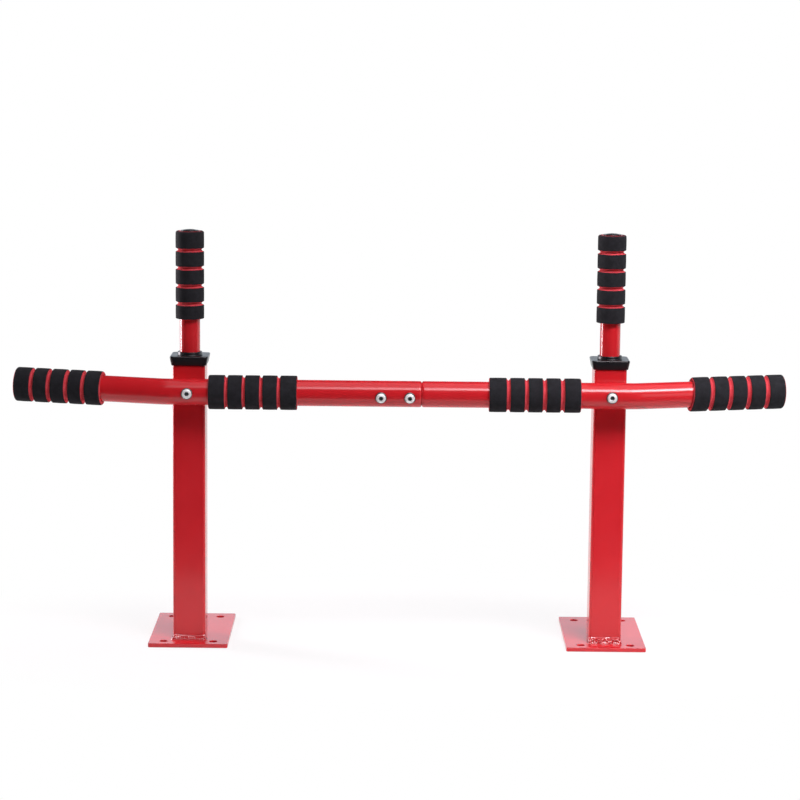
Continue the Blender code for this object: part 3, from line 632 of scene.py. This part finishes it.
# Widths of rings and grooves in turn, in mm, from the sleeve's foot
GRIPS = {
    "left_handle_grip": (16.6, 4.4, 17.2, 4.5, 17.5, 4.2, 17.7, 4.3, 20.7),
    "right_handle_grip": (19.1, 4.0, 17.3, 4.5, 17.6, 4.2, 17.4, 4.5, 18.5),
    "left_inner_bar_grip": (20.1, 4.0, 17.5, 3.8, 17.3, 3.8, 17.4, 3.9, 20.1),
    "right_inner_bar_grip": (21.1, 4.6, 17.4, 4.6, 17.2, 4.8, 16.9, 4.8, 20.2),
    "left_outer_bar_grip": (19.4, 4.6, 16.1, 4.9, 17.1, 4.8, 16.7, 4.7, 20.1),
    "right_outer_bar_grip": (20.7, 5.1, 18.1, 5.1, 17.8, 5.1, 17.9, 5.2, 20.5),
}
# Rounding of the sleeve's foot and head
GRIP_ENDS = {"handle": (0.0007, 0.0024), "inner": (0.0013, 0.0022), "outer": (0.0024, 0.0026)}
# The right outer sleeve was ground askew: slope of its cuts at the foot and at the head
GRIP_SLOPES = {"right_outer_bar_grip": (0.10, 0.03)}
# Place of each sleeve's foot along its tube, and its length
GRIP_PLACES = {
    "left_handle_grip": (0.4028, 0.1072), "right_handle_grip": (0.4028, 0.1072),
    "left_inner_bar_grip": (0.1244, 0.1079), "right_inner_bar_grip": (0.1088, 0.1117),
    "left_outer_bar_grip": (0.3621, 0.1084), "right_outer_bar_grip": (0.3550, 0.1155),
}


def foam(name, dark, light):
    """Closed-cell foam rubber: dull, with a skin of ground-open cells of 0.4 mm, drawn at 1 mm
    so that they show, and a cloudy tone from the blowing. It gives a dry surface with no shine."""
    material, tree, shader, place = new_material(name)
    cells = add_node(tree, "TexVoronoi", {"Vector": place, "Scale": 1 / 0.001}, feature="F1")
    cloud = add_node(tree, "TexNoise", {"Vector": place, "Scale": 1 / 0.008, "Detail": 4.0})
    speck = add_node(tree, "TexNoise", {"Vector": place, "Scale": 1 / 0.0007, "Detail": 2.0})
    tone = add_node(tree, "Math", {0: cloud.outputs["Fac"], 1: speck.outputs["Fac"]}, operation="MULTIPLY")
    spread = add_node(tree, "MapRange", {"Value": tone.outputs["Value"], "From Min": 0.12, "From Max": 0.4})
    shade = add_node(tree, "Mix", {0: spread.outputs["Result"], 6: linear(dark), 7: linear(light)},
                     data_type="RGBA")
    pores = add_node(tree, "Bump", {"Height": cells.outputs["Distance"], "Strength": 0.5, "Distance": 0.0002})
    set_inputs(tree, shader, {"Base Color": shade.outputs[2], "Roughness": 0.9, "Specular IOR Level": 0.2,
                              "Normal": pores.outputs["Normal"]})
    return material


black_foam = foam("black_foam_rubber_skin", "#191A1C", "#25262A")
red_foam = foam("red_foam_rubber_core", "#BC343B", "#D24E56")
# Painted shade: the handles' top ends are given a dark brownish red, for the shade on the foam's end face
# under the skin's rounded corner
painted_shade_head_foam = foam("red_foam_rubber_with_painted_shade", "#381B1F", "#4E2A2F")


def sleeve(tube_radius, length, widths, end_corners):
    """Section of a sleeve as (radius, height) pieces with their layer: 0 skin, 1 core, 2 head.

    A ring is two quarter rounds with a faint crown between them. At the sleeve's two ends the
    round goes deeper than the skin, and the skin stops there. A groove is
    r = edge - depth * (1 - |s| ^ 1.7), with s from -1 to 1 across it."""
    outer = tube_radius + GRIP_WALL
    inner = tube_radius + TUBE_CLEARANCE
    stops = np.concatenate([[0], np.cumsum(widths)]) * length / sum(widths)
    last = len(stops) - 2
    pieces = []
    for i, (low, high) in enumerate(zip(stops, stops[1:])):
        if i % 2:
            s = np.linspace(-1, 1, 17)
            pieces.append((np.stack([outer - SKIN - (GROOVE_DEPTH - SKIN) * (1 - abs(s) ** 1.7),
                                     (low + high + s * (high - low)) / 2], -1), 1))
            continue
        foot_corner = RING_CORNER if i else end_corners[0]
        head_corner = RING_CORNER if i < last else end_corners[1]
        foot_turn, head_turn = (math.degrees(math.acos(max(0.0, 1 - (SKIN - CROWN) / corner)))
                                for corner in (foot_corner, head_corner))
        foot_middle = (outer - CROWN - foot_corner, low + foot_corner)
        head_middle = (outer - CROWN - head_corner, high - head_corner)
        s = np.linspace(0, 1, 7)[1:-1]
        crown = np.stack([outer - CROWN + CROWN * np.sin(math.pi * s),
                          low + foot_corner + s * (high - low - foot_corner - head_corner)], -1)
        section = [arc(foot_middle, foot_corner, -foot_turn, 0), crown,
                   arc(head_middle, head_corner, 0, head_turn)]
        if i == 0:
            foot_end = arc(foot_middle, foot_corner, -90, -foot_turn)
        else:
            section.insert(0, [(outer - SKIN, low)])
        if i == last:
            head_end = arc(head_middle, head_corner, head_turn, 90)
        else:
            section.append([(outer - SKIN, high)])
        pieces.append((np.concatenate(section), 0))
    pieces.append((np.concatenate([head_end, [(inner + BORE_EDGE, length)]]), 2))
    bore = [(inner + BORE_EDGE, length), (inner, length - BORE_EDGE),
            (inner, BORE_EDGE), (inner + BORE_EDGE, 0)]
    pieces.append((np.concatenate([bore, foot_end]), 1))
    return pieces


def stood(points, origin, out):
    """Points about the Z axis, moved so that the axis starts at the origin and points out."""
    z = Vector(out).normalized()
    x = Vector((0, 0, 1)).cross(z)
    x = x.normalized() if x.length > 0.001 else Vector((1, 0, 0))
    basis = np.array([x, z.cross(x), z])
    return points @ basis + np.array(origin)


for node, widths in GRIPS.items():
    side = SIDES[node.split("_")[0]]
    start, length = GRIP_PLACES[node]
    if "handle" in node:
        tube_radius, origin, out = HANDLE_RADIUS, (side * ARM_X, ARM_Y, start), (0, 0, 1)
    else:
        ends = rolled(bar_line(np.array([start, start + length]), side)[0])
        tube_radius, origin, out = BAR_RADIUS, ends[0], ends[1] - ends[0]
    grids, layers = [], []
    for section_points, layer in sleeve(tube_radius, length, widths, GRIP_ENDS[node.split("_")[1]]):
        points = turned(section_points, GRIP_COLUMNS)
        slope_foot, slope_head = GRIP_SLOPES.get(node, (0, 0))
        points[..., 2] += points[..., 1] * (slope_foot + (slope_head - slope_foot) * points[..., 2] / length)
        grids.append(around(stood(points, origin, out)))
        layers.append(layer)
    # The handles' top end faces take the painted shade, the bar grips' ends their red core
    head_foam = painted_shade_head_foam if "handle" in node else red_foam
    grip = add_piece(node, stitched(node + "_sleeve", grids, layers), black_foam, red_foam, head_foam)


# End plugs: moulded from the same black polypropylene, a shallow dome over a stem that is
# pushed into the tube's open end.
PLUG_INSET = 0.0013
PLUG_RIM = 0.0006
PLUG_DOMES = {"handle": 0.0011, "bar": 0.0025}
PLUG_SEAT = 0.0003
PLUG_CROWN_SHARE = 0.72
PLUG_STEM = 0.012
PLUG_CHAMFER = 0.001
PLUG_COLUMNS = 72
# The mark that the gate leaves in the middle of the dome: floor, mouth and depth
GATE_FLOOR, GATE_MOUTH, GATE_DEPTH = 0.0012, 0.0015, 0.0003
for side_name, side in SIDES.items():
    bar_ends = rolled(bar_line(np.array([BAR_END - 0.01, BAR_END]), side)[0])
    handle_end = (side * ARM_X, ARM_Y, HANDLE_TOP)
    for node, tube_radius, bore, origin, out in (
            (side_name + "_handle_end_plug", HANDLE_RADIUS, HANDLE_BORE, handle_end, (0, 0, 1)),
            (side_name + "_bar_end_plug", BAR_RADIUS, BAR_BORE, bar_ends[1], bar_ends[1] - bar_ends[0])):
        head = tube_radius - PLUG_INSET
        stem = bore - TUBE_CLEARANCE
        t = np.radians(np.linspace(90, 0, 12))
        dome = PLUG_DOMES[node.split("_")[1]]
        crown = np.stack([head * PLUG_CROWN_SHARE * np.cos(t), PLUG_SEAT + PLUG_RIM + dome * np.sin(t)], -1)
        top = crown[0, 1]
        gate = [(0, top - GATE_DEPTH), (GATE_FLOOR, top - GATE_DEPTH), (GATE_MOUTH, top)]
        flange = arc((head - PLUG_RIM, PLUG_SEAT), PLUG_RIM, 90, 0)
        foot = [(stem, PLUG_SEAT), (stem, PLUG_CHAMFER - PLUG_STEM),
                (stem - PLUG_CHAMFER, -PLUG_STEM), (0, -PLUG_STEM)]
        plug = stood(turned(np.concatenate([gate, crown[2:], flange, foot]), PLUG_COLUMNS), origin, out)
        add_piece(node, stitched(node + "_moulding", [around(plug)]), black_plastic)


# Bolts and screws: M8 button heads with a 5 mm hexagon socket, zinc plated. Each goes through
# from the front into a hexagon nut behind, and its rolled thread shows where it comes out.
BOLT_RADIUS = 0.004
BOLT_COLUMNS = 96
HEAD_RADIUS = 0.007
HEAD_HEIGHT = 0.0043
HEAD_RIM = 0.0022
HEAD_CHAMFER = 0.0011
# Degrees of arc from the middle of the dome to its rim
HEAD_ARC = 50
SOCKET_HALF = 0.0025
SOCKET_DEPTH = 0.0026
THREAD_PITCH = 0.00125
THREAD_DEPTH = 0.00055
THREAD_LENGTH = 0.011
THREAD_TIP = 0.0006
WASHER_RADIUS = 0.008
WASHER_THICKNESS = 0.0016
NUT_HALF = 0.0065
NUT_THICKNESS = 0.0065
NUT_COLUMNS = 72
BOLT_TAIL = 0.002
GAP = 0.0003


def zinc_plating(name, dark, light, metallic):
    """Zinc plating over steel: a pale metal with a cloud of 3 mm, lighter and rougher where the
    plating bath left it dull."""
    material, tree, shader, place = new_material(name)
    cloud = add_node(tree, "TexNoise", {"Vector": place, "Scale": 1 / 0.003, "Detail": 4.0})
    shade = add_node(tree, "Mix", {0: cloud.outputs["Fac"], 6: linear(dark), 7: linear(light)},
                     data_type="RGBA")
    dull = add_node(tree, "MapRange", {"Value": cloud.outputs["Fac"], "From Min": 0.3, "From Max": 0.7,
                                       "To Min": 0.42, "To Max": 0.56})
    grit = add_node(tree, "Bump", {"Height": cloud.outputs["Fac"], "Strength": 0.3, "Distance": 0.00002})
    set_inputs(tree, shader, {"Base Color": shade.outputs[2], "Roughness": dull.outputs["Result"],
                              "Normal": grit.outputs["Normal"], "Metallic": metallic})
    return material


# The clear chalky film that seals the plating scatters most of the light
zinc = zinc_plating("bright_zinc_plated_steel", "#EAF1ED", "#FAFDFB", 0.3)
# Painted shade: the hexagon socket and the head's rim are given a dark zinc, for the shade in the socket and
# round the head where it sits on the tube
painted_shade_zinc = zinc_plating("zinc_plated_steel_with_painted_shade", "#4A5150", "#6A7270", 1.0)
# Finish of the dome, socket, rim and shank: 0 is bright, 1 is the dark zinc of painted shade
BOLT_FINISHES = [0, 1, 1, 0]


def hexagon(half, columns):
    """Distance from a hexagon's centre to its side in each direction: half / cos of the angle
    from the nearest flat's middle."""
    a = np.arange(columns) * 2 * math.pi / columns
    return half / np.cos((a + math.pi / 6) % (math.pi / 3) - math.pi / 6)


def button_bolt(length):
    """Dome, socket, rim and shank of a bolt. The thread's radius is a triangle wave of height
    along the shank and of the angle round it."""
    socket = hexagon(SOCKET_HALF, BOLT_COLUMNS)
    floor = HEAD_HEIGHT - SOCKET_DEPTH
    mouth = SOCKET_HALF / math.cos(math.pi / 6) + 0.0003
    pit = [(0, floor - 0.0007), (socket * 0.96, floor), (socket, floor + 0.0001),
           (socket, HEAD_HEIGHT - 0.0003)]
    t = np.radians(np.linspace(0, HEAD_ARC, 12))
    dome_foot = mouth + 0.0004
    dome_x = dome_foot + (HEAD_RADIUS - HEAD_CHAMFER - dome_foot) * np.sin(t) / np.sin(t[-1])
    dome_z = HEAD_HEIGHT - (HEAD_HEIGHT - HEAD_RIM) * (1 - np.cos(t)) / (1 - np.cos(t[-1]))
    dome = [pit[-1], (socket + 0.00015, HEAD_HEIGHT - 0.00015), (mouth, HEAD_HEIGHT), *zip(dome_x, dome_z)]
    rim = [dome[-1], (HEAD_RADIUS, HEAD_RIM - 0.0014), (HEAD_RADIUS, 0.0003), (HEAD_RADIUS - 0.0003, 0)]
    shank = [rim[-1], (BOLT_RADIUS, 0)]
    a = np.arange(BOLT_COLUMNS) / BOLT_COLUMNS
    for height in np.arange(THREAD_LENGTH - length, THREAD_TIP - length, -THREAD_PITCH / 6):
        wave = abs(((height / THREAD_PITCH + a) % 1) * 2 - 1)
        shank.append((BOLT_RADIUS - THREAD_DEPTH * wave, height))
    shank += [(BOLT_RADIUS - 0.0007, -length), (0, -length)]
    return [around(turned(part, BOLT_COLUMNS)) for part in (dome, pit, rim, shank)]


def hexagon_nut(hole_radius):
    """A hexagon whose top and bottom edges are cut back by a cone of 30 degrees, so the edge
    drops by (distance - half) * tan 30 towards each corner."""
    edge = hexagon(NUT_HALF, NUT_COLUMNS)
    drop = (edge - NUT_HALF) * math.tan(math.radians(30))
    flat = NUT_HALF - 0.0002
    section = [(hole_radius, 0.0005), (hole_radius + 0.0005, 0), (flat, 0), (edge, 0.0001 + drop),
               (edge, NUT_THICKNESS - 0.0001 - drop), (flat, NUT_THICKNESS),
               (hole_radius + 0.0005, NUT_THICKNESS), (hole_radius, NUT_THICKNESS - 0.0005),
               (hole_radius, 0.0005)]
    return around(turned(section, NUT_COLUMNS))


ARM_BOLT_HEAD_Y = BAR_Y - BAR_RADIUS - GAP
WASHER_Y = ARM_Y + ARM_HALF + GAP
ARM_NUT_Y = WASHER_Y + WASHER_THICKNESS + GAP
for side_name, side in SIDES.items():
    node = side_name + "_arm_bolt"
    length = ARM_NUT_Y + NUT_THICKNESS + BOLT_TAIL - ARM_BOLT_HEAD_Y
    bolt = [stood(part, (side * ARM_X, ARM_BOLT_HEAD_Y, BOLT_Z), (0, -1, 0)) for part in button_bolt(length)]
    add_piece(node, stitched(node + "_body", bolt, BOLT_FINISHES), zinc, painted_shade_zinc)
    section = [(BOLT_HOLE_RADIUS, 0), (WASHER_RADIUS - 0.0002, 0), (WASHER_RADIUS, 0.0002),
               (WASHER_RADIUS, WASHER_THICKNESS - 0.0003), (WASHER_RADIUS - 0.0003, WASHER_THICKNESS),
               (BOLT_HOLE_RADIUS + 0.0002, WASHER_THICKNESS), (BOLT_HOLE_RADIUS, WASHER_THICKNESS - 0.0002),
               (BOLT_HOLE_RADIUS, 0)]
    washer = stood(around(turned(section, NUT_COLUMNS)), (side * ARM_X, WASHER_Y, BOLT_Z), (0, 1, 0))
    add_piece(node + "_washer", stitched(node + "_washer_ring", [washer]), zinc)
    nut = stood(hexagon_nut(BOLT_HOLE_RADIUS), (side * ARM_X, ARM_NUT_Y, BOLT_Z), (0, 1, 0))
    add_piece(node + "_nut", stitched(node + "_hexagon", [nut]), zinc)
for node, x in JOIN_SCREWS.items():
    reach = BAR_RADIUS + GAP
    head, seat = rolled([(x, -reach, 0), (x, reach, 0)])
    screw = [stood(part, head, SCREW_OUT) for part in button_bolt(2 * reach + NUT_THICKNESS + BOLT_TAIL)]
    add_piece(node, stitched(node + "_body", screw, BOLT_FINISHES), zinc, painted_shade_zinc)
    nut = stood(hexagon_nut(BOLT_HOLE_RADIUS), seat, -SCREW_OUT)
    add_piece(node + "_nut", stitched(node + "_hexagon", [nut]), zinc)


# Studio: white paper under the object, dark cloth in front of it and dark curtains round the
# camera, so that the gloss coat mirrors white only low down. Seven soft boxes with grids hang over
# the front and grow stronger to the right. One more hangs overhead, and three stand round it.
PAPER = "#F2F2F2"
CLOTH_FOLDS = ("#5A5A5E", "#6C6C70")
SOFT_BOX_TINT = (1.0, 0.92, 0.98)
# The lit wall behind is a pale lavender, which shows only where a surface mirrors it
BACK_WALL_TINT = (1.02, 1.12, 1.24, 1)
# Place and power of each soft box in the row, and the spread that its grid leaves
SOFT_BOX_ROW = ((-0.42, -1.46, 2.14, 0.3), (-0.04, -1.44, 2.15, 1.2), (0.34, -1.41, 2.17, 3.2),
                (0.72, -1.36, 2.20, 5.5), (1.10, -1.30, 2.24, 7.0), (1.48, -1.23, 2.28, 8.0),
                (1.86, -1.15, 2.33, 7.0))
GRID_SPREAD = 90


def add_sheet(name, corner, across, along, material, seen=False):
    """A rectangle of the studio from a corner and two sides; the camera may look through it."""
    corner, across, along = np.array(corner), np.array(across), np.array(along)
    mesh = bpy.data.meshes.new(name)
    mesh.from_pydata([corner, corner + across, corner + across + along, corner + along], [], [(0, 1, 2, 3)])
    mesh.materials.append(material)
    sheet = bpy.data.objects.new(name, mesh)
    sheet.visible_camera = seen
    bpy.context.scene.collection.objects.link(sheet)


def background_share(tree):
    """1 for rays that look at the background, straight, in a mirror or through glass, else 0."""
    rays = add_node(tree, "LightPath", {}).outputs
    seen = add_node(tree, "Math", {0: rays["Is Camera Ray"], 1: rays["Is Glossy Ray"]}, operation="MAXIMUM")
    return add_node(tree, "Math", {0: seen.outputs["Value"], 1: rays["Is Transmission Ray"]},
                    operation="MAXIMUM").outputs["Value"]


white_paper, tree, shader, place = new_material("white_paper")
tree.nodes.remove(shader)
# Close round the object the paper is one fifth matt, so that it takes a soft shadow
narrowed = add_node(tree, "Mapping", {"Vector": place, "Scale": (0.5, 1.0, 1.0)})
away = add_node(tree, "VectorMath", {0: narrowed.outputs["Vector"]}, operation="LENGTH")
near = add_node(tree, "MapRange", {"Value": away.outputs["Value"], "From Min": 0.20, "From Max": 0.34,
                                   "To Min": 0.8, "To Max": 1.0})
share = add_node(tree, "Math", {0: background_share(tree), 1: near.outputs["Result"]}, operation="MULTIPLY")
matt = add_node(tree, "BsdfDiffuse", {"Color": linear(PAPER)})
glow = add_node(tree, "Emission", {"Color": (1, 1, 1, 1), "Strength": 1.0})
mixed = add_node(tree, "MixShader", {0: share.outputs["Value"], 1: matt.outputs["BSDF"],
                                     2: glow.outputs["Emission"]})
set_inputs(tree, tree.nodes["Material Output"], {"Surface": mixed.outputs["Shader"]})

dark_cloth, tree, shader, place = new_material("dark_cloth")
fold = add_node(tree, "TexNoise", {"Vector": place, "Scale": 3.0})
shade = add_node(tree, "Mix", {0: fold.outputs["Fac"], 6: linear(CLOTH_FOLDS[0]), 7: linear(CLOTH_FOLDS[1])},
                 data_type="RGBA")
set_inputs(tree, shader, {"Base Color": shade.outputs[2], "Roughness": 1.0, "Specular IOR Level": 0.0})

add_sheet("paper", (-8, -8, -0.0004), (16, 0, 0), (0, 16, 0), white_paper, seen=True)
add_sheet("cloth_in_front", (-5, -5, -0.0002), (10, 0, 0), (0, 4.55, 0), dark_cloth)
add_sheet("front_curtain", (-4, -4.2, -0.01), (8, 0, 0), (0, 0, 3.41), dark_cloth)
add_sheet("left_curtain", (-4, -4.2, -0.01), (0, 5, 0), (0, 0, 3.41), dark_cloth)
add_sheet("right_curtain", (4, -4.2, -0.01), (0, 5, 0), (0, 0, 3.41), dark_cloth)
add_sheet("ceiling", (-4, -4.2, 3.4), (8, 0, 0), (0, 8.2, 0), dark_cloth)
add_sheet("back_curtain", (-4, 4, 1.6), (8, 0, 0), (0, 0, 1.8), dark_cloth)

world = bpy.data.worlds.new("pale_surround")
bpy.context.scene.world = world
world.use_nodes = True
tree = world.node_tree
level = add_node(tree, "MapRange", {"Value": background_share(tree), "To Min": 0.6, "To Max": 1.0})
rays = add_node(tree, "LightPath", {}).outputs
wall = add_node(tree, "Mix", {0: rays["Is Glossy Ray"], 6: (1, 1, 1, 1), 7: BACK_WALL_TINT}, data_type="RGBA")
set_inputs(tree, tree.nodes["Background"], {"Color": wall.outputs[2], "Strength": level.outputs["Result"]})


def add_softbox(name, place, target, width, height, power, spread=180):
    """A soft box at a place, facing a target, its light narrowed to a spread in degrees."""
    light = bpy.data.lights.new(name, "AREA")
    light.shape = "RECTANGLE"
    light.size, light.size_y = width, height
    light.energy = power
    light.color = SOFT_BOX_TINT
    light.spread = math.radians(spread)
    lamp = bpy.data.objects.new(name, light)
    lamp.matrix_world = (Matrix.Translation(place)
                         @ (Vector(target) - Vector(place)).to_track_quat("-Z", "Y").to_matrix().to_4x4())
    bpy.context.scene.collection.objects.link(lamp)


for i, (x, y, z, power) in enumerate(SOFT_BOX_ROW):
    add_softbox("soft_box_row_%d" % (i + 1), (x, y, z), (x, -0.05, 0.3), 0.38, 0.75, power, GRID_SPREAD)
add_softbox("overhead_soft_box", (0.55, -0.1, 2.32), (0.55, 0, 0.3), 2.1, 2.2, 15)
add_softbox("left_fill", (-2.6, -1.6, 1.2), (0, 0, 0.3), 1.0, 1.0, 3.0)
add_softbox("right_fill", (1.7, -2.5, 0.9), (0.1, 0, 0.25), 1.2, 1.2, 6.5)
add_softbox("left_back_strip", (-1.5, 0.6, 0.5), (0, -0.05, 0.3), 0.4, 1.0, 26)


# Camera: a long lens 3.3 m in front of the object, a little above the bar. It tilts down by
# 9 degrees and leans by half a degree.
CAMERA_PLACE = (-0.00121, -3.26676, 0.79512)
YAW, PITCH, ROLL = math.radians(0.034), math.radians(8.631), math.radians(0.587)
camera = bpy.data.cameras.new("camera")
camera.sensor_width = 36.0
camera.lens = 119.716
camera.clip_end = 100
forward = Vector((math.sin(YAW) * math.cos(PITCH), math.cos(YAW) * math.cos(PITCH), -math.sin(PITCH)))
level_right = Vector((math.cos(YAW), -math.sin(YAW), 0))
level_up = level_right.cross(forward)
right = level_right * math.cos(ROLL) + level_up * math.sin(ROLL)
up = -level_right * math.sin(ROLL) + level_up * math.cos(ROLL)
viewer = bpy.data.objects.new("camera", camera)
bpy.context.scene.collection.objects.link(viewer)
bpy.context.scene.camera = viewer
viewer.matrix_world = Matrix.Translation(CAMERA_PLACE) @ Matrix((right, up, -forward)).transposed().to_4x4()

bpy.context.scene.view_settings.view_transform = "Standard"
